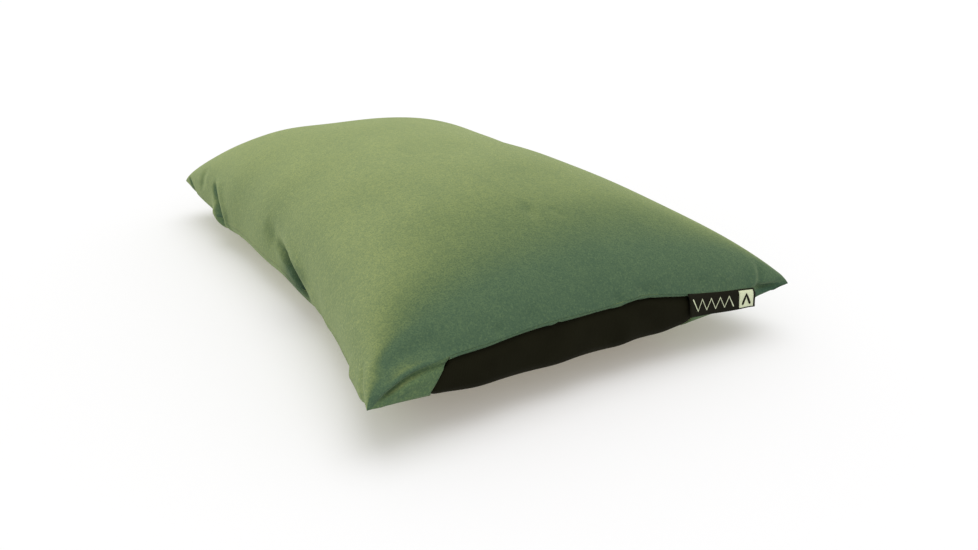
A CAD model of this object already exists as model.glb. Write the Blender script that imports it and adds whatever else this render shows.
# Camp pillow: a brushed cover over a foam topper and an air core, lying on its underside.
import math

import bmesh
import bpy
import numpy as np
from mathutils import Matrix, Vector


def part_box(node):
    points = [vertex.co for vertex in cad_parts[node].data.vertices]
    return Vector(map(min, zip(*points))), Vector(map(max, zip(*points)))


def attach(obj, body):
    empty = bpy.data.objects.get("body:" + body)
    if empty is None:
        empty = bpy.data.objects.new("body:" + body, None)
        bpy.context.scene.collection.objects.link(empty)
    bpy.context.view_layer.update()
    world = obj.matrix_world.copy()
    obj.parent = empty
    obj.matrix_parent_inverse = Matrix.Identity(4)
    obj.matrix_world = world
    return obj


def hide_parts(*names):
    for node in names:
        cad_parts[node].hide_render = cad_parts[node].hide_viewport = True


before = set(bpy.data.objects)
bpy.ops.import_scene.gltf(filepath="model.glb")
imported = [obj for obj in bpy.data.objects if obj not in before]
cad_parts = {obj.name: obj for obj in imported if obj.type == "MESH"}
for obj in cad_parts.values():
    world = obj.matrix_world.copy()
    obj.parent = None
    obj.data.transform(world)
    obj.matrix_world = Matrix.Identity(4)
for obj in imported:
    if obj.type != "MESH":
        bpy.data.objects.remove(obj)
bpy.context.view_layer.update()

MM = 0.001               # the cover is worked out in millimetres


def box_of(node):
    """The low and the high corner of a node's box, in millimetres."""
    low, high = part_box(node)
    return low / MM, high / MM


# ---------------- the cover's envelope
TOP_LOW, TOP_HIGH = box_of("cover_top")
HALF_WIDTH = TOP_HIGH.x
HALF_LENGTH = TOP_HIGH.y
RIM_Z = TOP_LOW.z - 3.0                 # the widest line round the pillow
TOP_RISE = TOP_HIGH.z - RIM_Z
BELLY_DEPTH = 29.6                      # the underside before the ground presses it flat
EAR_Z = {(-1, -1): 29.0, (1, -1): 32.0, (-1, 1): 32.0, (1, 1): 25.0}
DRAW_LEFT = 17.8                        # how far each side lies inside its ears
DRAW_SKEW = 0.55                        # the left side draws in most nearer to the mouth
DRAW_RIGHT = 25.0
DRAW_FRONT = 6.7
DRAW_BACK = 0.5
TOP_CURVE = (2.41, 0.39)                # power and root of the section's fullness
BELLY_CURVE = (3.3, 0.57)
SHOULDERS = [(-0.6, 0.75, 0.07), (0.05, 0.6, 0.025), (0.65, 0.24, -0.06)]  # fuller places
GROUND_BLEND = 1.5                      # how softly the belly meets the ground
COVER_THICK = 1.3
SACK_THICK = 0.8
TIP_REACH = 9.0                         # how far the plain, thinner tips of the ears reach
HEM_ROLL = 1.3                          # radius of the mouth's rolled edge
HEM_TURN = 5.0
LABEL_THICK = 0.5
LABEL_DROP_LEFT = 13.6
LABEL_DROP_RIGHT = 11.5
LABEL_STEPS = 41
LABEL_ROWS = 13
BADGE = (0.75, 0.965, 0.07, 0.93)       # its left, right, top and bottom, as shares
BADGE_STEPS = 9
BADGE_THICK = 0.35
ZIGZAG = (0.05, 0.66, 9)                # start, end and number of strokes
THREAD_SIDES = 6
TAG_THICK = 0.3
LINER_THICK = 0.5
LINER_GAP = 0.8                         # between the sack's outer and inner wall
PANEL_GROUND = 0.15                     # how low the sack's outer wall may come
LINER_GROUND = 1.6                      # and its inner wall
FOAM_INSET = 4.0
FOAM_WALL = 4.0
FOAM_SINK = 3.6                         # the foam's crown below the top of its box
FOAM_GAP = 0.8                          # between the foam and the core
FOAM_RINGS = 26

# The seam across the mouth end climbs over the front: (place across, share of the rise)
MOUTH_SEAM = [(-1.0, 0.0), (-0.935, 0.13), (-0.885, 0.19), (-0.84, 0.23), (-0.78, 0.243),
              (-0.68, 0.262), (-0.5, 0.262), (-0.25, 0.283), (0.0, 0.278), (0.15, 0.288),
              (0.245, 0.290), (0.33, 0.262), (0.435, 0.222), (0.615, 0.165), (0.8, 0.112),
              (0.9, 0.066), (1.0, 0.0)]
MOUTH_LEFT = -0.755                     # where the black panel starts and ends across
MOUTH_RIGHT = 0.47
MOUTH_LEAN = 0.186                      # its left edge leans over by this at the top
SACK_BACK = -0.652                      # how far it runs back under the pillow

# The valve's window in the underside
WINDOW_LOW, WINDOW_HIGH = box_of("valve_opening_binding")
WINDOW_X = (WINDOW_LOW.x + WINDOW_HIGH.x) / 2
WINDOW_Y = (WINDOW_LOW.y + WINDOW_HIGH.y) / 2
WINDOW_R = (WINDOW_HIGH.x - WINDOW_LOW.x) / 2 + 0.2
BINDING_WIDTH = 2.8

# Grid of the simulated cloth, and how many times finer the finished one is
NET_ACROSS = 65
NET_ALONG = 95
NET_STRIP = 4
FINER = 3


def fullness(t, curve):
    """The share of the full rise at t, from 0 at the rim to 1 in the middle."""
    power, root = curve
    return np.clip(1 - np.abs(t) ** power, 0, 1) ** root


def place_of(share, curve):
    """The place on the front half where the fullness is share."""
    power, root = curve
    return -(1 - share ** (1 / root)) ** (1 / power)


def smooth_steps(pairs, at):
    """A smooth curve through the pairs, read at the given places."""
    xs, ys = np.array(pairs).T
    slopes = np.gradient(ys, xs)
    k = np.clip(np.searchsorted(xs, at) - 1, 0, len(xs) - 2)
    span = xs[k + 1] - xs[k]
    t = (at - xs[k]) / span
    return ((2 * t**3 - 3 * t**2 + 1) * ys[k] + (t**3 - 2 * t**2 + t) * span * slopes[k]
            + (3 * t**2 - 2 * t**3) * ys[k + 1] + (t**3 - t**2) * span * slopes[k + 1])


def above_ground(z):
    """Heights pressed flat on the ground, with a soft start."""
    soft = (z + GROUND_BLEND) ** 2 / (4 * GROUND_BLEND)
    return np.where(z > GROUND_BLEND, z, np.where(z < -GROUND_BLEND, 0.0, soft))


def envelope(u, v, upper):
    """Points of the cover's outer surface; u runs across and v along, both from -1 to 1."""
    draw = np.where(u < 0, DRAW_LEFT * (1 - DRAW_SKEW * v), DRAW_RIGHT) * (1 - v * v)
    pull = np.where(v < 0, DRAW_FRONT, DRAW_BACK) * (1 - u * u)
    x = u * (HALF_WIDTH - draw)
    y = v * (HALF_LENGTH - pull)
    ear = sum(z * (1 + a * u) * (1 + b * v) / 4 for (a, b), z in EAR_Z.items())
    rim = RIM_Z + (ear - RIM_Z) * (u * v) ** 2
    if upper:
        rise = TOP_RISE * fullness(u, TOP_CURVE) * fullness(v, TOP_CURVE)
        shoulder = 1 + sum(h * np.exp(-((u - a) / 0.33) ** 2 - ((v - b) / 0.32) ** 2)
                           for a, b, h in SHOULDERS)
        z = rim + rise * shoulder
    else:
        sag = BELLY_DEPTH * fullness(u, BELLY_CURVE) * fullness(v, BELLY_CURVE)
        z = above_ground(rim - sag)
    return np.stack([x, y, z], axis=-1)


def arc_places(count, half, rise, marks):
    """Places from -1 to 1, about evenly spaced along the arc of the section and closer near
    the rim, with one moved on to each mark."""
    t = np.sin(np.linspace(-np.pi / 2, np.pi / 2, 4001))
    steps = np.hypot(np.diff(t * half), np.diff(rise * fullness(t, TOP_CURVE)))
    travelled = np.concatenate([[0], np.cumsum(steps)])
    even = np.linspace(0, 1, count)
    share = even - 0.35 * np.sin(2 * np.pi * even) / (2 * np.pi)
    places = np.interp(share * travelled[-1], travelled, t)
    places[0], places[-1] = -1.0, 1.0
    nearest = [places[np.abs(places - mark).argmin()] for mark in marks]
    return np.interp(places, [-1, *nearest, 1], [-1, *marks, 1])


def split_steps(places, factor):
    """The same places with factor steps for each one."""
    index = np.arange((len(places) - 1) * factor + 1) / factor
    return np.interp(index, np.arange(len(places)), places)


def leaned(across, share):
    """Places across, moved over near the panel's left edge where share is above 0."""
    near = np.exp(-((across - MOUTH_LEFT) / 0.11) ** 2) * (1 - across**2)
    return across + MOUTH_LEAN * near * share


def grids(factor):
    """The cover's surface in three grids: the upper sheet from the mouth's seam back, the
    strip between that seam and the front rim, and the underside."""
    marks = (MOUTH_LEFT, MOUTH_RIGHT)
    across = split_steps(arc_places(NET_ACROSS, HALF_WIDTH, TOP_RISE, marks), factor)[:, None]
    along = split_steps(arc_places(NET_ALONG, HALF_LENGTH, TOP_RISE, (SACK_BACK,)), factor)[None, :]
    back = (along + 1) / 2
    rows = np.linspace(0, 1, NET_STRIP * factor + 1)[None, :]
    top_u = leaned(across, (1 - back) ** 6)
    seam = place_of(np.maximum(smooth_steps(MOUTH_SEAM, leaned(across, 1.0)), 0), TOP_CURVE)
    top_v = seam + (1 - seam) * back
    strip_u = leaned(across, rows)
    share = np.maximum(smooth_steps(MOUTH_SEAM, strip_u[:, -1:]), 0)
    strip_v = place_of(share * rows, TOP_CURVE)
    belly_u = across + 0 * along
    belly_v = 0 * across + along
    return {
        "top": (top_u, top_v, envelope(top_u, top_v, True)),
        "strip": (strip_u, strip_v, envelope(strip_u, strip_v, True)),
        "belly": (belly_u, belly_v, envelope(belly_u, belly_v, False)),
    }


def unit(vectors):
    """The vectors at length 1."""
    return vectors / np.maximum(np.linalg.norm(vectors, axis=-1, keepdims=True), 1e-9)


def grid_normals(points):
    """Unit normals of a grid of points."""
    return unit(np.cross(np.gradient(points, axis=0), np.gradient(points, axis=1)))


def outward(points, part):
    """Unit normals of one of the cover's grids, on its outer side."""
    return grid_normals(points) * (-1 if part == "belly" else 1)


def every_face(points):
    """A mask that keeps all the faces of a grid."""
    return np.ones((points.shape[0] - 1, points.shape[1] - 1), bool)


def quads_of(ids):
    """The faces between the rows and the columns of a grid of point numbers."""
    return np.stack([ids[:-1, :-1], ids[1:, :-1], ids[1:, 1:], ids[:-1, 1:]], axis=-1)


def welded(parts):
    """Points and faces from several (points, faces to keep, part) grids, where points that
    fall together become one; and for every grid point the number of its welded one."""
    points = np.concatenate([grid.reshape(-1, 3) for grid, keep, part in parts])
    whole, index = np.unique(np.round(points, 3), axis=0, return_inverse=True)
    index = index.reshape(-1)
    faces = []
    start = 0
    for grid, keep, part in parts:
        ids = index[start:start + grid[..., 0].size].reshape(grid.shape[:2])
        start += ids.size
        quads = quads_of(ids)
        if part == "belly":
            quads = quads[..., ::-1]
        for quad in quads[keep].tolist():
            corners = list(dict.fromkeys(quad))
            if len(corners) > 2:
                faces.append(corners)
    return whole, faces, index


def spread(values, factor):
    """A grid of vectors, smoothly filled in to factor steps for each one, both ways."""
    for turn in range(2):
        count = len(values)
        place = np.arange((count - 1) * factor + 1) / factor
        k = np.minimum(place.astype(int), count - 2)
        t = (place - k)[:, None, None]
        ends = np.concatenate([2 * values[:1] - values[1:2], values,
                               2 * values[-1:] - values[-2:-1]])
        a, b, c, d = (ends[k + i] for i in range(4))
        filled = b + t / 2 * (c - a + t * (2 * a - 5 * b + 4 * c - d + t * (3 * (b - c) + d - a)))
        values = filled.swapaxes(0, 1)
    return values


def placed_object(name, data):
    """A new object in the scene."""
    made = bpy.data.objects.new(name, data)
    bpy.context.scene.collection.objects.link(made)
    return made


# ---------------- the cloth settles
SETTLE_FRAMES = 26
SETTLE_CAP = 7.0         # how far the simulated cloth may move
CLOTH = {
    "quality": 7, "mass": 0.15, "tension_stiffness": 12, "compression_stiffness": 8,
    "shear_stiffness": 5, "bending_stiffness": 0.05, "vertex_group_mass": "pin",
    "pin_stiffness": 1.0, "vertex_group_shrink": "slack", "shrink_min": 0.0,
    "shrink_max": -0.06, "use_pressure": True, "uniform_pressure_force": 1.5,
}


def settled():
    """How far each point of the three coarse grids moves once the cloth has settled."""
    coarse = grids(1)
    parts = [(coarse[part][2], every_face(coarse[part][2]), part) for part in coarse]
    whole, faces, index = welded(parts)
    sizes = [points[..., 0].size for u, v, points in coarse.values()]
    held = np.concatenate([hold(u, v).ravel() for u, v, grid in coarse.values()])
    moves = cloth_moves(whole, faces, held, index)
    pieces = np.split(moves[index], np.cumsum(sizes)[:-1])
    return {part: piece.reshape(coarse[part][2].shape) for part, piece in zip(coarse, pieces)}


def hold(u, v):
    """How firmly each point is held to the envelope: the crown and the ground firmly, the
    slopes and the ears loosely."""
    rise = fullness(u, TOP_CURVE) * fullness(v, TOP_CURVE)
    loose = np.exp(-((rise - 0.45) / 0.3) ** 2)
    return 0.55 - 0.5 * loose


def cloth_moves(points, faces, held, index):
    """Simulate the closed cover with a little air in it and spare cloth along its sides."""
    mesh = bpy.data.meshes.new("settling")
    mesh.from_pydata((points * MM).tolist(), [], faces)
    cloth = placed_object("settling", mesh)
    weights = np.zeros(len(points))
    weights[index] = held
    pin = cloth.vertex_groups.new(name="pin")
    slack = cloth.vertex_groups.new(name="slack")
    for k, weight in enumerate(weights):
        pin.add([k], float(weight), "REPLACE")
        slack.add([k], float(1.1 - 2 * weight), "REPLACE")
    settings = cloth.modifiers.new("Cloth", "CLOTH").settings
    for name, value in CLOTH.items():
        setattr(settings, name, value)
    settings.effector_weights.gravity = 0
    scene = bpy.context.scene
    for number in range(1, SETTLE_FRAMES + 1):
        scene.frame_set(number)
    result = cloth.evaluated_get(bpy.context.evaluated_depsgraph_get()).to_mesh()
    moved = np.zeros(len(points) * 3)
    result.vertices.foreach_get("co", moved)
    scene.frame_set(1)
    bpy.data.objects.remove(cloth)
    moves = moved.reshape(-1, 3) / MM - points
    length = np.maximum(np.linalg.norm(moves, axis=1, keepdims=True), 1e-9)
    return moves * SETTLE_CAP * np.tanh(length / SETTLE_CAP) / length


# ---------------- folds and seams
def along_path(points, path):
    """For each point its distance from a path, how far along that is, and the offset."""
    path = spread(np.array(path, float)[:, None, :].repeat(2, axis=1), 6)[:, 0]
    steps = np.diff(path, axis=0)
    lengths = np.linalg.norm(steps, axis=1)
    starts = np.concatenate([[0], np.cumsum(lengths)])
    best = np.full(points.shape[:-1], np.inf)
    share = np.zeros_like(best)
    offset = np.zeros_like(points)
    for corner, step, length, start in zip(path, steps, lengths, starts):
        t = np.clip((points - corner) @ step / length**2, 0, 1)
        away = points - corner - t[..., None] * step
        distance = np.linalg.norm(away, axis=-1)
        nearer = distance < best
        best = np.where(nearer, distance, best)
        share = np.where(nearer, (start + t * length) / starts[-1], share)
        offset = np.where(nearer[..., None], away, offset)
    return best, share, offset


def fold(points, path, rise, width, ends=(0, 0), lip=0, lip_side=(0, 0, 1)):
    """The rise of a fold that follows a path: negative in a crease. Its ends fade to a share
    of it, and a lip may stand up along one side."""
    distance, share, offset = along_path(points, path)
    fade = np.interp(share, [0, 0.3, 0.7, 1], [ends[0], 1, 1, ends[1]])
    height = rise * np.exp(-(distance / width) ** 2)
    if lip:
        side = offset @ unit(np.array(lip_side, float))
        height += lip * np.exp(-((side - 1.8 * width) / (1.4 * width)) ** 2
                               - (distance / (5 * width)) ** 2)
    return height * fade


# Each fold: a few points near the surface, its rise and width, the share of it that is left
# at either end, and a lip's rise and the side that it stands on
SIDE_FOLDS = [
    # the long slit in the left side, under the bulge behind it, and the soft fall into it
    ([(-121, -8, 39), (-122, -22, 36), (-122, -41, 32), (-122, -55, 28), (-121, -64, 24)],
     -6.5, 4.6, (0.2, 0.6), 3.0, (0, -0.3, 1)),
    ([(-122, -24, 36), (-122, -36, 33), (-122, -48, 30), (-121, -63, 24)], -8.5, 1.9, (0.1, 0.7)),
    ([(-119, 20, 47), (-120, 4, 43), (-121, -10, 40), (-122, -28, 36)], -2.2, 8.5, (0.0, 1.0)),
    ([(-122, 2, 36), (-122, -26, 30), (-121, -48, 25)], 1.6, 3.0),
    ([(-119, -58, 22), (-119, -84, 24), (-120, -110, 24)], -2.0, 12.0, (0.2, 0.1)),
    # the folds beside the far ear
    ([(-129, 141, 48), (-131, 133, 42), (-132, 122, 35), (-131, 109, 24)],
     -5.0, 3.2, (0.0, 1.0), 1.6, (0, -1, 0.3)),
    ([(-134, 134, 30), (-133, 122, 25), (-131, 112, 22)], 4.5, 6.0, (0.3, 0.9)),
    ([(-138, 204, 37), (-138, 196, 33), (-138, 186, 28)], -3.0, 1.8, (0.4, 0.9)),
    ([(-126, 172, 52), (-131, 168, 45), (-135, 163, 35)], -1.2, 5.0),
    # beside the near ear, and the roll of cloth under it
    ([(-131, -168, 25), (-134, -180, 27), (-137, -191, 28), (-139, -200, 29)],
     3.1, 7.0, (0.0, 0.9)),
    ([(-133, -190, 40), (-136, -198, 35), (-138, -207, 31)],
     -1.4, 2.0, (0.0, 0.8), 0.7, (1, 0, 0.3)),
    # on the right side
    ([(117, 60, 50), (116, 40, 40), (115, 26, 30)], -3.4, 3.0, (0, 0.8), 1.4, (0, -1, 0.3)),
    ([(118, -70, 52), (117, -56, 42), (116, -46, 31)], -3.0, 3.2, (0, 0.8), 1.2, (0, 1, 0.3)),
    ([(127, 150, 48), (130, 140, 38), (131, 128, 26)], -3.4, 3.0, (0, 0.9), 1.4, (0, -1, 0.3)),
    ([(128, -158, 50), (130, -146, 40), (130, -136, 30)], -2.6, 3.2, (0, 0.9), 1.2, (0, 1, 0.3)),
    # and across the far end
    ([(-52, 206, 58), (-44, 211, 44), (-40, 214, 32)], -2.8, 3.4, (0, 0.9), 1.2, (1, 0, 0.3)),
    ([(38, 207, 56), (32, 211, 44), (30, 214, 30)], -2.6, 3.2, (0, 0.9), 1.2, (-1, 0, 0.3)),
]
MOUTH_FOLDS = [
    # the crease from the near ear along the seam, the ridge below and the hollow above it
    ([(-139, -215, 29), (-131, -214, 32.5), (-124, -213, 35), (-117, -212, 37.5),
      (-108, -211, 39), (-97, -210, 39)], -3.6, 1.3, (0.5, 0.6), 1.5, (0, 0, 1)),
    ([(-130, -215, 29), (-121, -213, 33), (-112, -212, 34), (-103, -211, 34)], 1.5, 2.6),
    ([(-131, -210, 38), (-123, -206, 44), (-114, -204, 47), (-104, -203, 49), (-92, -201, 51)],
     -2.2, 6.0),
    # the slit at the other ear and the fold that comes down to it
    ([(112, -212, 34), (120, -213, 33.5), (130, -214, 33), (138, -215, 32)],
     -3.2, 1.9, (0.3, 0.8), 1.0, (0, 0, 1)),
    ([(120, -207, 49), (119, -211, 42), (117, -212, 36)], -1.6, 2.6, (0.2, 1.0), 1.0, (-1, 0, 0)),
    # hollows and puckers just above the hem
    ([(26, -204, 49), (35, -205, 46), (46, -206, 45)], -1.9, 4.5),
    ([(10, -203, 48), (15, -205, 45), (17, -206, 43)], -1.4, 3.0),
    ([(-66, -204, 50), (-62, -206, 45)], -1.1, 3.0),
    ([(-45, -202, 53), (-40, -205, 46)], -0.9, 4.0),
    ([(-30, -206, 46), (-27, -207, 43)], 0.9, 4.0),
    ([(70, -205, 47), (74, -208, 41)], -0.9, 3.5),
    ([(92, -205, 47), (95, -209, 40)], 0.8, 4.0),
    # two thumb-sized dimples on the near slope
    ([(-10, -143, 87), (-2, -144, 87)], -1.1, 8.0),
    ([(8, -150, 85), (12, -149, 85)], -0.9, 6.0),
]
# Swellings of the empty sack at its lower edge: (place along X, rise, half width)
SACK_LOBES = [(-78, 1.3, 14), (-28, 2.6, 16), (16, 2.1, 10), (46, 0.9, 9)]


def rolling(points):
    """The gentle unevenness of a stuffed cover, in waves a few centimetres long."""
    x, y, z = np.moveaxis(points, -1, 0)
    return (0.34 * np.sin(x / 17 + y / 29 + 0.4) + 0.30 * np.sin(x / 23 - y / 14 + 2.1)
            + 0.26 * np.sin(y / 10.5 + x / 41 + 1.3) + 0.22 * np.sin(x / 9.3 + z / 12 + 0.8))


def border_distance(points, axis):
    """Distance along the grid's lines from its first and from its last line."""
    steps = np.linalg.norm(np.diff(points, axis=axis), axis=-1)
    pad = [(0, 0), (0, 0)]
    pad[axis] = (1, 0)
    travelled = np.pad(np.cumsum(steps, axis=axis), pad)
    total = travelled.take([-1], axis=axis)
    return travelled, total - travelled


def seam_rise(distance, along, depth):
    """A stitched seam's narrow furrow, gathered into small uneven puckers beside it."""
    furrow = -np.exp(-(distance / 1.2) ** 2)
    gather = np.sin(along / 2.9 + 1.7 * np.sin(along / 11.0)) * np.sin(along / 19.0 + 0.6)
    return depth * (furrow + 0.5 * gather * np.exp(-((distance - 4.0) / 3.6) ** 2))


def shaped(part, u, v, points):
    """The surface of one grid with its folds, seams and unevenness."""
    normal = outward(points, part)
    x, y, z = np.moveaxis(points, -1, 0)
    rise = sum(fold(points, *each) for each in SIDE_FOLDS + MOUTH_FOLDS)
    left, right = border_distance(points, 0)
    back = border_distance(points, 1)[1]
    if part != "strip":
        rise += seam_rise(left, y, 0.1) + seam_rise(right, y, 0.9) + seam_rise(back, x, 0.9)
    crown = fullness(u, TOP_CURVE) * fullness(v, TOP_CURVE)
    rise += rolling(points) * (0.35 + 0.65 * (1 - crown))
    if part != "top":
        lobes = sum(h * np.exp(-((x - at) / w) ** 2) for at, h, w in SACK_LOBES)
        rise += lobes * np.exp(-((z - 24) / 9) ** 2) * (y < 0)
    tips = np.hypot(HALF_WIDTH - np.abs(x), HALF_LENGTH - np.abs(y))
    rise *= 1 - np.exp(-(tips / TIP_REACH) ** 2)
    placed = points + rise[..., None] * normal
    placed[..., 2] = np.maximum(placed[..., 2], 0)
    return placed


def finished_grids():
    """The three fine grids, settled and shaped, that still meet along their shared lines."""
    moves = settled()
    fine = grids(FINER)
    parts = [(fine[part][2], every_face(fine[part][2]), part) for part in fine]
    index = welded(parts)[2]
    placed = []
    for part, (u, v, points) in fine.items():
        base = points + spread(moves[part], FINER)
        base[..., 2] = np.maximum(base[..., 2], 0)
        placed.append(shaped(part, u, v, base).reshape(-1, 3))
    placed = np.concatenate(placed)
    total = np.zeros((index.max() + 1, 3))
    np.add.at(total, index, placed)
    shared = (total / np.bincount(index)[:, None])[index]
    sizes = np.cumsum([points[..., 0].size for u, v, points in fine.values()])[:-1]
    return {part: (u, v, piece.reshape(points.shape))
            for (part, (u, v, points)), piece in zip(fine.items(), np.split(shared, sizes))}


# ---------------- materials
class Finish:
    """A procedural material, built up from noises in the piece's own coordinates."""

    def __init__(self, name, colour, roughness, **sockets):
        self.material = bpy.data.materials.new(name)
        self.material.use_nodes = True
        self.nodes = self.material.node_tree.nodes
        self.links = self.material.node_tree.links
        self.shader = self.nodes["Principled BSDF"]
        self.base = (*colour, 1)
        self.feed(self.shader, Base_Color=self.base, Roughness=roughness, **sockets)
        self.place = self.node("TexCoord").outputs["Object"]
        self.colour = None
        self.height = None

    def node(self, kind, *ordered, **named):
        """A new node, with values or other nodes' outputs for its sockets."""
        node = self.nodes.new("ShaderNode" + kind)
        self.feed(node, *ordered, **named)
        return node

    def feed(self, node, *ordered, **named):
        """Set a node's sockets, by their order or their names, to values or links."""
        sockets = list(zip(node.inputs, ordered))
        sockets += [(node.inputs[name.replace("_", " ")], value) for name, value in named.items()]
        for socket, value in sockets:
            if isinstance(value, bpy.types.NodeSocket):
                self.links.new(value, socket)
            else:
                socket.default_value = value

    def noise(self, size, detail=3.0, roughness=0.6, stretch=(1, 1, 1), turn=0.0):
        """A noise from 0 to 1 whose features are about size metres across."""
        mapping = self.node("Mapping", Vector=self.place, Scale=[s / size for s in stretch],
                            Rotation=(0, 0, turn))
        noise = self.node("TexNoise", Vector=mapping.outputs["Vector"], Scale=1.0, Detail=detail,
                          Roughness=roughness)
        return noise.outputs["Fac"]

    def ribs(self, size, direction):
        """Straight waves from 0 to 1, size metres apart."""
        wave = self.node("TexWave", Vector=self.place, Scale=math.pi / (10 * size),
                         Distortion=0.4, Detail_Scale=2.0)
        wave.bands_direction = direction
        return wave.outputs["Fac"]

    def part_of(self, vector, axis, low, high):
        """From 0 to 1 as a vector's share along an axis goes from low to high."""
        split = self.node("SeparateXYZ", Vector=vector)
        return self.stretched(split.outputs[axis], low, high)

    def sloping(self, low, high):
        """From 0 to 1 as the surface turns, by its normal's height."""
        return self.part_of(self.node("NewGeometry").outputs["Normal"], "Z", low, high)

    def along(self, axis, low, high):
        """From 0 to 1 between two places on one of the piece's axes, in metres."""
        return self.part_of(self.place, axis, low, high)

    def facing(self, towards, low, high):
        """From 0 to 1 as the surface turns, by how far it faces in a direction."""
        dot = self.node("VectorMath", self.node("NewGeometry").outputs["Normal"], towards)
        dot.operation = "DOT_PRODUCT"
        return self.stretched(dot.outputs["Value"], low, high)

    def near(self, centre, reach):
        """From 1 at a point of the piece to 0 at some reach from it, in metres."""
        measure = self.node("VectorMath", self.place, centre)
        measure.operation = "DISTANCE"
        return self.stretched(measure.outputs["Value"], reach, 0.0)

    def both(self, one, other):
        """High only where two factors are."""
        product = self.node("Math", one, other)
        product.operation = "MULTIPLY"
        return product.outputs["Value"]

    def stretched(self, value, low, high):
        """The value's range from low to high, spread from 0 to 1."""
        spread_out = self.node("MapRange", Value=value, From_Min=low, From_Max=high)
        spread_out.interpolation_type = "SMOOTHSTEP"
        return spread_out.outputs["Result"]

    def tint(self, factor, colour, low=0.35, high=0.65, blend="MIX", amount=1.0):
        """Mix a colour in where the factor is high."""
        reach = self.node("MapRange", Value=factor, From_Min=low, From_Max=high, To_Max=amount)
        mix = self.node("Mix")
        mix.data_type = "RGBA"
        mix.blend_type = blend
        below = self.base if self.colour is None else self.colour
        self.feed(mix, Factor=reach.outputs["Result"], A=below, B=(*colour, 1))
        self.colour = mix.outputs["Result"]
        self.feed(self.shader, Base_Color=self.colour)

    def deepen(self, factor, colour, high=1.0):
        """Multiply by a colour where the factor is high."""
        self.tint(factor, colour, 0.0, high, "MULTIPLY")

    def bump(self, factor, depth, strength=1.0):
        """Raise the surface by up to depth metres where the factor is high."""
        bump = self.node("Bump", Strength=strength, Distance=depth, Height=factor)
        if self.height is not None:
            self.feed(bump, Normal=self.height)
        self.height = bump.outputs["Normal"]
        self.feed(self.shader, Normal=self.height)

    def vary_roughness(self, factor, low, high):
        """Let the roughness follow the factor, from low to high."""
        reach = self.node("MapRange", Value=factor, To_Min=low, To_Max=high)
        self.feed(self.shader, Roughness=reach.outputs["Result"])


# The way the nap lies, and two places where it shows its darker side, in metres
NAP_WAY = (-0.02, 1.0, 0.0)
SLIT_MIDDLE = (-0.115, -0.040, 0.028)   # in the left side
SLIT_REACH = 0.038
EAR_STRIP = (0.120, -0.212, 0.026)      # the strip of the under panel by the right ear
EAR_REACH = 0.045


def nap_mottling(finish, cool, pale):
    """Patches and grain of a nap that is rubbed one way and the other."""
    finish.tint(finish.noise(0.055, 3.0, 0.6, (1, 0.6, 1), 0.5), pale, 0.38, 0.72, amount=0.55)
    finish.tint(finish.noise(0.021, 4.0, 0.65, (1, 0.55, 1), -0.4), cool, 0.42, 0.75, amount=0.5)
    finish.tint(finish.sloping(0.95, 0.45), cool, 0.0, 1.0, amount=0.7)
    finish.tint(finish.noise(0.0060, 3.0, 0.7), pale, 0.45, 0.70, amount=0.45)
    finish.tint(finish.noise(0.0030, 4.0, 0.75), cool, 0.44, 0.64, amount=0.8)
    finish.tint(finish.noise(0.0015, 3.0, 0.7), pale, 0.46, 0.64, amount=0.7)
    finish.tint(finish.noise(0.0008, 2.0, 0.6), cool, 0.46, 0.60, amount=0.8)


def nap_shading(finish, away):
    """Slopes that face the mouth, against the nap, look deeper and cooler, as does all the
    mouth's half a little. So do the left side's slit, the strip by the right ear, and the
    underside."""
    finish.deepen(finish.along("Y", 0.24, -0.22), (0.93, 0.94, 0.96))
    finish.deepen(finish.facing(NAP_WAY, 0.05, -0.36), (0.60, 0.66, 0.60))
    finish.deepen(finish.facing(NAP_WAY, -0.14, -0.54), away)
    slit = finish.both(finish.near(SLIT_MIDDLE, SLIT_REACH),
                       finish.facing((0.35, 1.0, 0.0), 0.0, -0.28))
    slit = finish.both(slit, finish.along("Z", 0.043, 0.035))
    finish.deepen(slit, (0.25, 0.37, 0.44), 0.7)
    strip = finish.both(finish.near(EAR_STRIP, EAR_REACH), finish.along("Z", 0.0345, 0.0295))
    finish.deepen(strip, (0.46, 0.60, 0.78), 0.6)
    finish.deepen(finish.facing((-1.0, 0.3, 1.0), -0.45, -0.95), (0.62, 0.72, 0.78))


def suede(name, colour, cool, pale, away):
    """Brushed knit: a short nap with a soft sheen."""
    finish = Finish(name, colour, 0.92, Sheen_Weight=0.28, Sheen_Roughness=0.42,
                    Sheen_Tint=(0.78, 0.9, 0.5, 1), Specular_IOR_Level=0.12)
    nap_mottling(finish, cool, pale)
    nap_shading(finish, away)
    finish.bump(finish.noise(0.0035, 3.0, 0.6), 0.00040, 0.7)
    finish.bump(finish.noise(0.0014, 2.0, 0.7), 0.00045, 0.9)
    return finish.material


def black_knit(name):
    """Smooth stretch knit of the stuff sack."""
    finish = Finish(name, (0.0066, 0.0063, 0.0022), 0.85, Sheen_Weight=0.01, Sheen_Roughness=0.4,
                    Sheen_Tint=(0.7, 0.65, 0.4, 1), Specular_IOR_Level=0.07)
    finish.tint(finish.noise(0.03), (0.0095, 0.0092, 0.0038), 0.35, 0.7)
    finish.bump(finish.ribs(0.0009, "X"), 0.00008, 0.6)
    finish.bump(finish.noise(0.0008), 0.0001, 0.5)
    return finish.material


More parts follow.
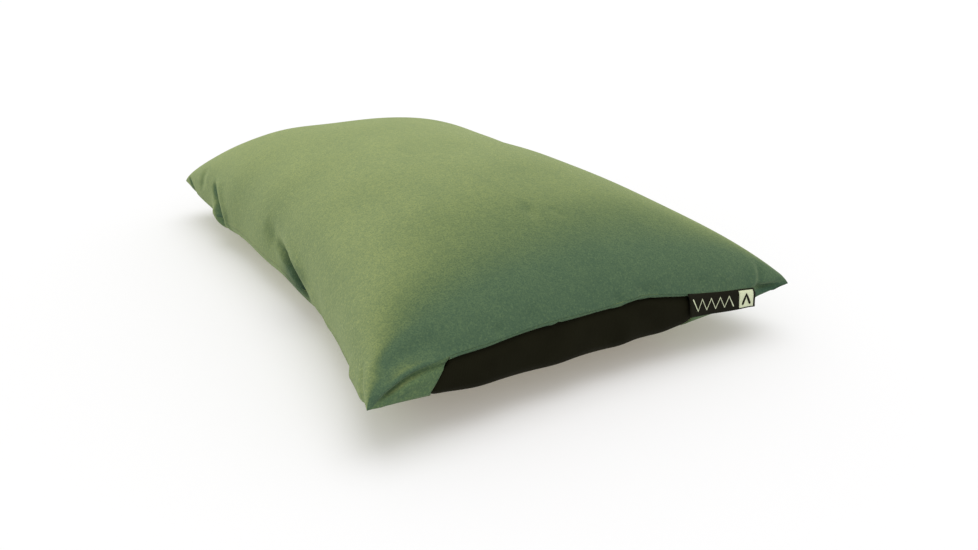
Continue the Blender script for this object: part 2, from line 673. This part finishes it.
def woven(name, colour, pale, size=0.0007, roughness=0.75, shine=0.3):
    """Narrow woven tape, with its ribs across it."""
    finish = Finish(name, colour, roughness, Sheen_Weight=0.4 * shine, Specular_IOR_Level=shine)
    finish.tint(finish.ribs(size, "Z"), pale, 0.3, 0.9, amount=0.6)
    finish.tint(finish.noise(0.004), pale, 0.5, 0.8, amount=0.35)
    finish.bump(finish.ribs(size, "Z"), 0.00010, 0.7)
    finish.bump(finish.ribs(size * 1.4, "X"), 0.00008, 0.5)
    return finish.material


def moulded(name, colour, pale, roughness):
    """Fine-grained moulded plastic, a little polished where fingers reach it."""
    finish = Finish(name, colour, roughness, Specular_IOR_Level=0.45)
    finish.tint(finish.noise(0.006), pale, 0.45, 0.75, amount=0.3)
    finish.vary_roughness(finish.noise(0.004, 4.0), roughness - 0.1, roughness + 0.12)
    finish.bump(finish.noise(0.0005, 2.0), 0.00004, 0.5)
    return finish.material


def film(name):
    """Coated nylon film of the air core."""
    finish = Finish(name, (0.30, 0.32, 0.33), 0.42, Specular_IOR_Level=0.45)
    finish.tint(finish.noise(0.018), (0.36, 0.38, 0.38), 0.4, 0.7, amount=0.6)
    finish.bump(finish.ribs(0.0006, "X"), 0.00003, 0.4)
    finish.bump(finish.ribs(0.0006, "Y"), 0.00003, 0.4)
    finish.bump(finish.noise(0.012, 4.0), 0.0004, 0.3)
    return finish.material


def open_foam(name):
    """Soft foam with fine open cells."""
    finish = Finish(name, (0.62, 0.58, 0.46), 0.95, Specular_IOR_Level=0.1)
    finish.tint(finish.noise(0.0016, 3.0), (0.42, 0.38, 0.28), 0.5, 0.72, amount=0.7)
    finish.bump(finish.noise(0.0014, 3.0), 0.0006, 0.8)
    return finish.material


def embroidery(name):
    """Pale thread."""
    finish = Finish(name, (0.70, 0.76, 0.52), 0.6, Sheen_Weight=0.2, Specular_IOR_Level=0.35)
    finish.tint(finish.noise(0.0012), (0.46, 0.50, 0.33), 0.5, 0.75, amount=0.6)
    finish.bump(finish.ribs(0.0004, "Z"), 0.0001, 0.7)
    return finish.material


# ---------------- pieces
def new_object(name, points, faces, slot, finish=None):
    """A smooth piece from points in millimetres, which rides on the pillow. Its finish is its
    slot's, or another one."""
    mesh = bpy.data.meshes.new(name)
    mesh.from_pydata((np.asarray(points) * MM).tolist(), [], faces)
    drop_loose(mesh)
    mesh.materials.append(FINISHES[finish or slot])
    mesh.shade_smooth()
    piece = placed_object(name, mesh)
    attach(piece, "pillow")
    return piece


def drop_loose(mesh):
    """Delete the points that no face uses."""
    work = bmesh.new()
    work.from_mesh(mesh)
    bmesh.ops.delete(work, geom=[v for v in work.verts if not v.link_faces], context="VERTS")
    work.to_mesh(mesh)
    work.free()


def thicken(piece, thick, thin_tips=False):
    """Give a sheet its thickness, inwards, less of it in the tips of the ears."""
    solidify = piece.modifiers.new("thickness", "SOLIDIFY")
    solidify.thickness = thick * MM
    solidify.offset = -1.0
    if thin_tips:
        group = piece.vertex_groups.new(name="thickness")
        for vertex in piece.data.vertices:
            x, y = (abs(at) / MM for at in vertex.co[:2])
            reach = math.hypot(HALF_WIDTH - x, HALF_LENGTH - y) / TIP_REACH
            group.add([vertex.index], 1 - 0.9 * math.exp(-reach**2), "REPLACE")
        solidify.vertex_group = group.name


def grid_faces(rows, columns, closed=False):
    """Quads over a grid of points that are numbered row by row; closed joins its last column
    to the first."""
    ids = np.arange(rows * columns).reshape(rows, columns)
    if closed:
        ids = np.concatenate([ids, ids[:, :1]], axis=1)
    return quads_of(ids).reshape(-1, 4).tolist()


def grid_piece(name, grid, slot, finish=None, flip=True):
    """A piece with a face between each four points of a grid; flip turns the faces over."""
    faces = grid_faces(*grid.shape[:2])
    if flip:
        faces = [face[::-1] for face in faces]
    return new_object(name, grid.reshape(-1, 3), faces, slot, finish)


def swept(name, sections, slot):
    """A closed solid from a row of closed sections, with a flat face at each end."""
    sections = np.asarray(sections, float)
    rows, columns = sections.shape[:2]
    faces = grid_faces(rows, columns, closed=True)
    faces.append(list(range(columns))[::-1])
    faces.append(list(range((rows - 1) * columns, rows * columns)))
    return new_object(name, sections.reshape(-1, 3), faces, slot)


def make_cover(fine):
    """The upper and the under panel of the cover."""
    top = fine["top"][2]
    strip = fine["strip"][2]
    belly = fine["belly"][2].copy()
    points, faces = welded([(top, every_face(top), "top")])[:2]
    upper = new_object("cover_upper", points, faces, "suede")
    thicken(upper, COVER_THICK, True)
    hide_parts("cover_top")

    offset = belly[..., :2] - (WINDOW_X, WINDOW_Y)
    radius = np.linalg.norm(offset, axis=-1)
    inside = radius < WINDOW_R
    belly[inside, :2] = (WINDOW_X, WINDOW_Y) + offset[inside] * (WINDOW_R / radius[inside])[:, None]
    hole = inside[:-1, :-1] & inside[1:, :-1] & inside[1:, 1:] & inside[:-1, 1:]
    first, last, deep = sack_extent(fine)
    keep_strip = every_face(strip)
    keep_strip[first:last] = False
    keep_belly = ~hole
    keep_belly[first:last, :deep] = False
    points, faces = welded([(strip, keep_strip, "strip"), (belly, keep_belly, "belly")])[:2]
    under = new_object("cover_under", points, faces, "suede_under")
    thicken(under, COVER_THICK, True)
    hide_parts("cover_bottom")


def sack_extent(fine):
    """The first and last column and the last row of the sack's panel in the grids."""
    u, v = fine["belly"][:2]
    return (np.abs(u[:, 0] - MOUTH_LEFT).argmin(), np.abs(u[:, 0] - MOUTH_RIGHT).argmin(),
            np.abs(v[0] - SACK_BACK).argmin())


def make_sack(fine):
    """The sack's outer wall, let into the cover below the mouth, and its inner wall."""
    first, last, deep = sack_extent(fine)
    strip = fine["strip"][2][first:last + 1, ::-1]
    belly = fine["belly"][2][first:last + 1, 1:deep + 1]
    skin = np.concatenate([strip, belly], axis=1)
    normal = -grid_normals(skin)
    down = border_distance(skin, 1)[0]
    left, right = border_distance(skin, 0)
    sides = np.minimum(left, right)
    tuck = 0.4 + 2.6 * np.exp(-(down / 4.5) ** 2) + 0.9 * np.exp(-(sides / 1.8) ** 2)
    panel = skin - tuck[..., None] * normal
    panel[..., 2] = np.maximum(panel[..., 2], PANEL_GROUND)
    outer = grid_piece("sack_panel", panel, "black_knit")
    thicken(outer, SACK_THICK)
    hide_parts("stuff_sack_panel")

    trim = 2 * FINER
    depth = (tuck + SACK_THICK + LINER_GAP)[..., None]
    liner = (skin - depth * normal)[trim:-trim, FINER:-FINER]
    liner[..., 2] = np.maximum(liner[..., 2], LINER_GROUND)
    inner = grid_piece("sack_liner", liner, "black_liner")
    thicken(inner, LINER_THICK)
    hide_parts("stuff_sack_liner")


def along_mouth(fine, section, margin):
    """A section of (outward, down) points, carried along the upper panel's front edge."""
    first, last = sack_extent(fine)[:2]
    top = fine["top"][2]
    columns = slice(first + margin, last + 1 - margin)
    edge = top[columns, 0]
    normal = outward(top, "top")[columns, 0]
    up = unit(top[columns, 2] - edge)
    return np.stack([edge + n * normal - d * up for n, d in section], axis=1)


def make_hem(fine):
    """The upper panel's turned-in edge along the mouth, and the elastic behind it."""
    turns = np.linspace(0, math.pi, 9)
    roll = [(-HEM_ROLL * (1.12 - math.cos(t)), 0.05 + HEM_ROLL * math.sin(t)) for t in turns]
    section = roll + [(-2 * HEM_ROLL, -HEM_TURN), (-1.6, -HEM_TURN), (-1.6, 0.0)]
    hem = swept("opening_hem_roll", along_mouth(fine, section, 0), "suede")
    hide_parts("opening_hem")
    section = [(-2.9, -1.0), (-3.8, -1.0), (-3.8, -5.0), (-2.9, -5.0)]
    elastic = swept("mouth_elastic_band", along_mouth(fine, section, 2 * FINER), "elastic")
    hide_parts("mouth_elastic")


def label_surface(fine):
    """The label's grid of points: along the seam, and down from it, and its normals."""
    low, high = box_of("label_tape")
    strip = fine["strip"][2]
    at = np.linspace(low.x, high.x, LABEL_STEPS)
    drops = np.linspace(LABEL_DROP_LEFT, LABEL_DROP_RIGHT, LABEL_STEPS)
    down = np.linspace(0, 1, LABEL_ROWS)
    grid = []
    for x, drop in zip(at, drops):
        ys, zs = ([np.interp(x, row[:, 0], row[:, k]) for row in strip.swapaxes(0, 1)]
                  for k in (1, 2))
        z = zs[-1] - drop * down
        off = 0.15 + 1.1 * np.clip(down * 5, 0, 1) + 0.9 * down**2 * (1 + 0.4 * math.sin(x / 7))
        y = np.interp(z, zs, ys) - off
        grid.append(np.stack([0 * z + x, y, z], axis=-1))
    grid = np.array(grid)
    normal = -grid_normals(grid)
    return grid, np.where(normal[..., 1:2] > 0, -normal, normal)


def on_label(surface, s, t, lift):
    """The point at share s along the label and t down it, lifted off its face."""
    grid, normal = surface
    last = np.array(grid.shape[:2]) - 1
    rows = np.array([s, t]) * last
    i, j = np.minimum(rows.astype(int), last - 1)
    a, b = rows - (i, j)

    def mixed(values):
        return ((1 - a) * (1 - b) * values[i, j] + a * (1 - b) * values[i + 1, j]
                + (1 - a) * b * values[i, j + 1] + a * b * values[i + 1, j + 1])
    return mixed(grid) + lift * mixed(normal)


def make_label(fine):
    """The woven tape in the mouth's seam, with a plain zigzag and a square badge."""
    surface = label_surface(fine)
    grid = surface[0]
    tape = grid_piece("label_tape_woven", grid, "label")
    thicken(tape, LABEL_THICK)
    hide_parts("label_tape")
    left, right, high, low = BADGE
    square = np.array([[on_label(surface, s, t, BADGE_THICK)
                        for t in np.linspace(high, low, BADGE_STEPS)]
                       for s in np.linspace(left, right, BADGE_STEPS)])
    badge = grid_piece("label_badge", square, "label", "embroidery")
    thicken(badge, BADGE_THICK)
    middle = (left + right) / 2
    reach = (right - left) * 0.26
    peak = [on_label(surface, middle + reach * side, high + (low - high) * down, 0.45)
            for side, down in ((-1, 0.78), (-0.5, 0.5), (0, 0.22), (0.5, 0.5), (1, 0.78))]
    make_thread("label_badge_peak", [peak], (0, -1, 0.1), 0.8, "label")
    start, end, count = ZIGZAG
    corners = [(start + (end - start) * k / count, 0.76 if k % 2 else 0.24)
               for k in range(count + 1)]
    path = [on_label(surface, s, t, 0.1) for s, t in corners]
    make_thread("label_zigzag", [path], (0, -1, 0.1), 0.42, "label", "embroidery")


def make_thread(name, paths, normal, radius, slot, finish=None):
    """Raised threads: each a flattened tube with rounded ends along its path."""
    normal = unit(np.array(normal, float))
    points = []
    faces = []
    turns = np.linspace(0, 2 * math.pi, THREAD_SIDES + 1)[:-1]
    for path in paths:
        path = np.array(path, float)
        tangent = unit(np.gradient(path, axis=0))
        side = unit(np.cross(tangent, normal))
        start = path[0] - tangent[0] * radius
        end = path[-1] + tangent[-1] * radius
        spine = np.concatenate([[start], path, [end]])
        sides = np.concatenate([side[:1], side, side[-1:]])
        sizes = np.full(len(spine), radius)
        sizes[[0, -1]] = radius * 0.35
        rings = [centre + size * (math.cos(t) * s + 0.6 * math.sin(t) * normal)
                 for centre, s, size in zip(spine, sides, sizes) for t in turns]
        first = len(points)
        after = first + len(rings)
        faces += [[first + k for k in face]
                  for face in grid_faces(len(spine), THREAD_SIDES, closed=True)]
        faces.append(list(range(first, first + THREAD_SIDES))[::-1])
        faces.append(list(range(after - THREAD_SIDES, after)))
        points += rings
    return new_object(name, points, faces, slot, finish)


def make_care_tag(fine):
    """A blank satin ribbon, folded once, its ends caught in the side seam."""
    low, high = box_of("care_tag")
    rim = fine["belly"][2][-1]
    rows = np.linspace(low.y, high.y, 13)
    turn = np.linspace(-1, 1, 41)
    length = high.x - low.x
    grid = []
    for y in rows:
        root_x = np.interp(y, rim[:, 1], rim[:, 0]) - 1.0
        root_z = np.interp(y, rim[:, 1], rim[:, 2])
        out = length * (1 - np.abs(turn) ** 6)
        sway = 0.5 * math.sin((y - low.y) / 5.0)
        x = root_x + out
        z = root_z + 0.65 * np.sin(turn * math.pi / 2) * np.clip(out / 3, 0.4, 1) \
            - 0.016 * out**2 + sway * out / length
        grid.append(np.stack([x, 0 * x + y, z], axis=-1))
    grid = np.array(grid)
    tag = grid_piece("care_tag_ribbon", grid, "care_tag", flip=False)
    thicken(tag, TAG_THICK)
    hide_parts("care_tag")


def make_binding():
    """The gathered tape round the valve's window, and its stitches."""
    outer = WINDOW_R + 0.4
    inner = WINDOW_R - BINDING_WIDTH
    turns = np.linspace(0, 2 * math.pi, 241)[:-1]
    around = np.linspace(0, 2 * math.pi, 17)[:-1]
    middle = (outer + inner) / 2
    half = (outer - inner) / 2
    sections = []
    for turn in turns:
        crimp = 1 + 0.05 * math.sin(60 * turn)
        radial = middle + half * np.sign(np.cos(around)) * np.abs(np.cos(around)) ** 0.6 * crimp
        height = 1.22 + 0.95 * np.sign(np.sin(around)) * np.abs(np.sin(around)) ** 0.6 * crimp
        sections.append(np.stack([WINDOW_X + radial * math.cos(turn),
                                  WINDOW_Y + radial * math.sin(turn), height], axis=-1))
    sections = np.array(sections + sections[:1])
    tube = np.concatenate([sections, sections[:, :1]], axis=1)
    points, faces = welded([(tube, every_face(tube), "belly")])[:2]
    ring = new_object("valve_window_binding", points, faces, "binding")
    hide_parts("valve_opening_binding")
    stitches = []
    for turn in turns[::4]:
        arc = np.linspace(turn, turn + 0.055, 3)
        stitches.append([(WINDOW_X + (middle + 0.5) * math.cos(a),
                          WINDOW_Y + (middle + 0.5) * math.sin(a), 0.3) for a in arc])
    make_thread("valve_window_stitches", stitches, (0, 0, -1), 0.3, "binding")


def make_foam():
    """The foam topper: a dome over the air core, hollowed to sit on it."""
    core_high = box_of("bladder_top_film")[1]
    foam_low, foam_high = box_of("foam_topper")
    edge_z = foam_low.z
    half_x, half_y = foam_high.x - FOAM_INSET, foam_high.y - FOAM_INSET
    outer = (half_x, half_y, foam_high.z - FOAM_SINK)
    inner = (half_x - FOAM_WALL, half_y - FOAM_WALL, core_high.z + FOAM_GAP)
    turns = np.linspace(0, 2 * math.pi, 121)[:-1]

    def height(x, y, form):
        shares = [np.clip(1 - np.abs(at / half) ** 3, 0, 1) for at, half in zip((x, y), form)]
        return RIM_Z + (form[2] - RIM_Z) * np.sqrt(shares[0] * shares[1])

    def rim_radius(turn, form):
        far = 1.0 / max(abs(math.cos(turn)) / form[0], abs(math.sin(turn)) / form[1])
        radii = np.linspace(0, far, 600)
        above = height(radii * math.cos(turn), radii * math.sin(turn), form) >= edge_z
        return radii[above].max()

    rings = []
    shares_out = np.sin(np.linspace(0.02, math.pi / 2, FOAM_RINGS))
    shares_in = np.sin(np.linspace(math.pi / 2, 0.02, FOAM_RINGS))
    for form, shares in ((outer, shares_out), (inner, shares_in)):
        rims = np.array([rim_radius(turn, form) for turn in turns])
        for share in shares:
            x = share * rims * np.cos(turns)
            y = share * rims * np.sin(turns)
            z = height(x, y, form) if share < 0.9999 else 0 * x + edge_z
            rings.append(np.stack([x, y, z], axis=-1))
    foam = swept("foam_topper_pad", rings, "foam")
    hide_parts("foam_topper")


def finish_cad_nodes():
    """Give the core's and the valve's own parts their materials."""
    kinds = {"valve_base": "valve_body", "dump_plug": "valve_plug", "port_cap": "valve_cap",
             "check_flap": "silicone"}
    for name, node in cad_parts.items():
        kind = kinds.get(name, "film")
        node.data.materials.clear()
        node.data.materials.append(FINISHES[kind])


# ---------------- floor, light and camera
FLOOR_REACH = 8.0                       # metres, as all that follows
FLOOR_DROP = 0.0004
VIEW_AZIMUTH = -30.1
VIEW_ELEVATION = 22.75
VIEW_DISTANCE = 0.636
VIEW_TARGET = (0.0494, 0, -0.0213)
LENS = 28.7                             # millimetres


def make_floor():
    """A plain pale floor."""
    mesh = bpy.data.meshes.new("floor")
    corners = [(-FLOOR_REACH, -FLOOR_REACH, 0), (FLOOR_REACH, -FLOOR_REACH, 0),
               (FLOOR_REACH, FLOOR_REACH, 0), (-FLOOR_REACH, FLOOR_REACH, 0)]
    mesh.from_pydata(corners, [], [(0, 1, 2, 3)])
    floor = placed_object("floor", mesh)
    floor.location.z = -FLOOR_DROP
    paint = Finish("floor", (0.640, 0.675, 0.760), 0.9, Specular_IOR_Level=0.1,
                   Emission_Color=(1.0, 0.90, 0.70, 1), Emission_Strength=0.255)
    mesh.materials.append(paint.material)


def make_sun(name, azimuth, elevation, spread_angle, strength, colour):
    """A soft distant light that shines from the given direction."""
    lamp = bpy.data.lights.new(name, "SUN")
    lamp.angle = math.radians(spread_angle)
    lamp.energy = strength
    lamp.color = colour
    look_back(placed_object(name, lamp), direction(azimuth, elevation))


def direction(azimuth, elevation):
    """The unit vector towards a place; azimuth 0 is the -Y side and 90 the +X side."""
    a, e = math.radians(azimuth), math.radians(elevation)
    return Vector((math.sin(a) * math.cos(e), -math.cos(a) * math.cos(e), math.sin(e)))


def look_back(thing, back):
    """Turn a light or a camera to look away from a direction."""
    thing.rotation_mode = "QUATERNION"
    thing.rotation_quaternion = (-back).to_track_quat("-Z", "Y")


def make_world():
    """Soft light from all round."""
    world = bpy.data.worlds.new("studio")
    world.use_nodes = True
    background = world.node_tree.nodes["Background"]
    background.inputs["Color"].default_value = (1.0, 0.98, 0.94, 1)
    background.inputs["Strength"].default_value = 0.82
    bpy.context.scene.world = world


def make_camera():
    """The camera low in front, to the left."""
    back = direction(VIEW_AZIMUTH, VIEW_ELEVATION)
    camera = placed_object("camera", bpy.data.cameras.new("camera"))
    camera.data.lens = LENS
    camera.data.sensor_width = 36.0
    camera.data.clip_start = 0.01
    camera.location = Vector(VIEW_TARGET) + back * VIEW_DISTANCE
    look_back(camera, back)
    bpy.context.scene.camera = camera


# ---------------- the whole scene
def all_materials():
    """Every finish, by the slot that it is for."""
    return {
        "suede": suede("suede", (0.276, 0.334, 0.136), (0.170, 0.236, 0.113), (0.341, 0.402, 0.158),
                       (0.57, 0.70, 0.98)),
        "suede_under": suede("suede_under", (0.267, 0.328, 0.138), (0.163, 0.231, 0.115),
                             (0.332, 0.395, 0.161), (0.78, 0.88, 1.0)),
        "binding": woven("binding", (0.10, 0.13, 0.07), (0.15, 0.19, 0.10)),
        "black_knit": black_knit("black_knit"),
        "black_liner": black_knit("black_liner"),
        "elastic": woven("elastic", (0.02, 0.02, 0.016), (0.05, 0.05, 0.04)),
        "label": woven("label", (0.0070, 0.0066, 0.0028), (0.012, 0.011, 0.005), 0.0005, 0.85,
                       0.08),
        "embroidery": embroidery("embroidery"),
        "care_tag": woven("care_tag", (0.72, 0.72, 0.68), (0.80, 0.80, 0.77), 0.0005, 0.5),
        "foam": open_foam("foam"),
        "film": film("film"),
        "valve_body": moulded("valve_body", (0.05, 0.055, 0.06), (0.08, 0.085, 0.09), 0.45),
        "valve_plug": moulded("valve_plug", (0.10, 0.11, 0.12), (0.15, 0.16, 0.17), 0.42),
        "valve_cap": moulded("valve_cap", (0.30, 0.36, 0.12), (0.38, 0.44, 0.17), 0.40),
        "silicone": moulded("silicone", (0.55, 0.56, 0.55), (0.65, 0.66, 0.65), 0.35),
    }


FINISHES = all_materials()
fine_grids = finished_grids()
make_cover(fine_grids)
make_sack(fine_grids)
make_hem(fine_grids)
make_label(fine_grids)
make_care_tag(fine_grids)
make_binding()
make_foam()
finish_cad_nodes()

make_floor()
make_world()
make_sun("key", azimuth=112, elevation=80, spread_angle=60, strength=1.16,
         colour=(1.0, 0.97, 0.90))
make_camera()
bpy.context.scene.view_settings.view_transform = "Standard"
